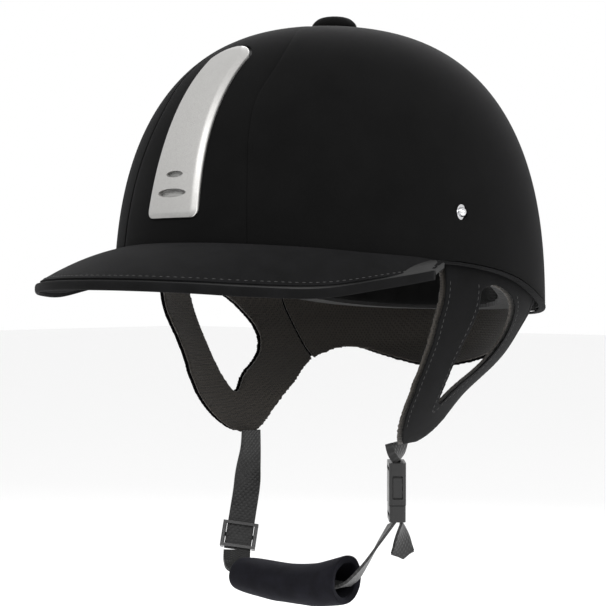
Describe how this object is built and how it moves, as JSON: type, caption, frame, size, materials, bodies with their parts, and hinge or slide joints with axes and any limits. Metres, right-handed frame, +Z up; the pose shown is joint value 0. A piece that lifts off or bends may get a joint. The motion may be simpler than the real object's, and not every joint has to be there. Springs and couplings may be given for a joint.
{
  "type": "equestrian riding helmet",
  "caption": "Velvet-covered riding helmet with a fabric peak, silver front trim, padded ear harness, and a chin strap with side-release buckle, slider and padded chin cup.",
  "frame": {"origin": "on the dome's vertical axis, level with the lowest rear edge of the shell, at the head opening", "axes": "+Z up through the crown; the peak points along -Y; +X is the wearer's left"},
  "size_m": [0.2338, 0.3402, 0.3403],
  "materials": {
    "velvet": "short pile velvet",
    "shell_plastic": "moulded",
    "foam": "expanded bead foam",
    "lining": "knitted lining over foam",
    "suede": "napped synthetic suede",
    "mesh_lining": "spacer mesh",
    "webbing": "woven webbing",
    "silver_trim": "satin metallic",
    "steel_mesh": "woven wire",
    "chrome": "polished",
    "buckle_plastic": "moulded acetal",
    "cup_fabric": "brushed loop fabric",
    "cup_padding": "foam-backed knit"
  },
  "bodies": {
    "helmet": {"cover_front_panel": "velvet", "cover_rear_panel": "velvet", "cover_left_panel": "velvet", "cover_right_panel": "velvet", "outer_shell": "shell_plastic", "rim_binding": "suede", "yoke_outer_left": "suede", "yoke_outer_right": "suede", "yoke_lining_left": "mesh_lining", "yoke_lining_right": "mesh_lining", "nape_outer": "suede", "nape_lining": "mesh_lining", "yoke_webbing_left": "webbing", "yoke_webbing_right": "webbing", "foam_liner": "foam", "anchor_webbing_left": "webbing", "anchor_webbing_right": "webbing", "headband_pad": "lining", "crown_pad": "lining", "crown_button": "velvet", "crown_rivet": "steel_mesh", "front_trim": "silver_trim", "trim_vent_meshes": "steel_mesh", "side_studs": "chrome", "stud_washers": "chrome", "peak_cover_top": "suede", "peak_core": "shell_plastic", "peak_cover_under": "suede", "peak_edge_binding": "suede"},
    "chin_strap": {"right_webbing": "webbing", "chin_webbing": "webbing", "left_webbing": "webbing", "webbing_tail": "webbing", "buckle_socket": "buckle_plastic", "buckle_plug": "buckle_plastic", "buckle_loop_webbing": "webbing"},
    "slider": {"strap_slider": "buckle_plastic"},
    "chin_cup": {"chin_cup_outer": "cup_fabric", "chin_cup_lining": "cup_padding"},
    "buckle_arm_front": {"buckle_arm_front": "buckle_plastic"},
    "buckle_arm_rear": {"buckle_arm_rear": "buckle_plastic"}
  },
  "joints": [
    {"name": "chin_strap_swing", "type": "hinge", "parent": "helmet", "child": "chin_strap", "pos_m": [0, -0.0125, -0.076], "axis": [1, 0, 0], "range_deg": [-35, 35]},
    {"name": "slider_adjust", "type": "slide", "parent": "chin_strap", "child": "slider", "axis": [-0.1191, 0.3573, 0.9264], "range_m": [0, 0.016]},
    {"name": "chin_cup_slide", "type": "slide", "parent": "chin_strap", "child": "chin_cup", "axis": [1, 0, 0], "range_m": [-0.001, 0.003]},
    {"name": "front_latch_squeeze", "type": "hinge", "parent": "chin_strap", "child": "buckle_arm_front", "pos_m": [0.06008, -0.01855, -0.1035], "axis": [0.766, 0.6428, 0], "range_deg": [-7, 0], "stiffness_Nm_per_rad": 0.05},
    {"name": "rear_latch_squeeze", "type": "hinge", "parent": "chin_strap", "child": "buckle_arm_rear", "pos_m": [0.04992, -0.00645, -0.1035], "axis": [0.766, 0.6428, 0], "range_deg": [0, 7], "stiffness_Nm_per_rad": 0.05}
  ],
  "couplings": [
    {"joint": "rear_latch_squeeze", "follows": "front_latch_squeeze", "ratio": -1}
  ]
}
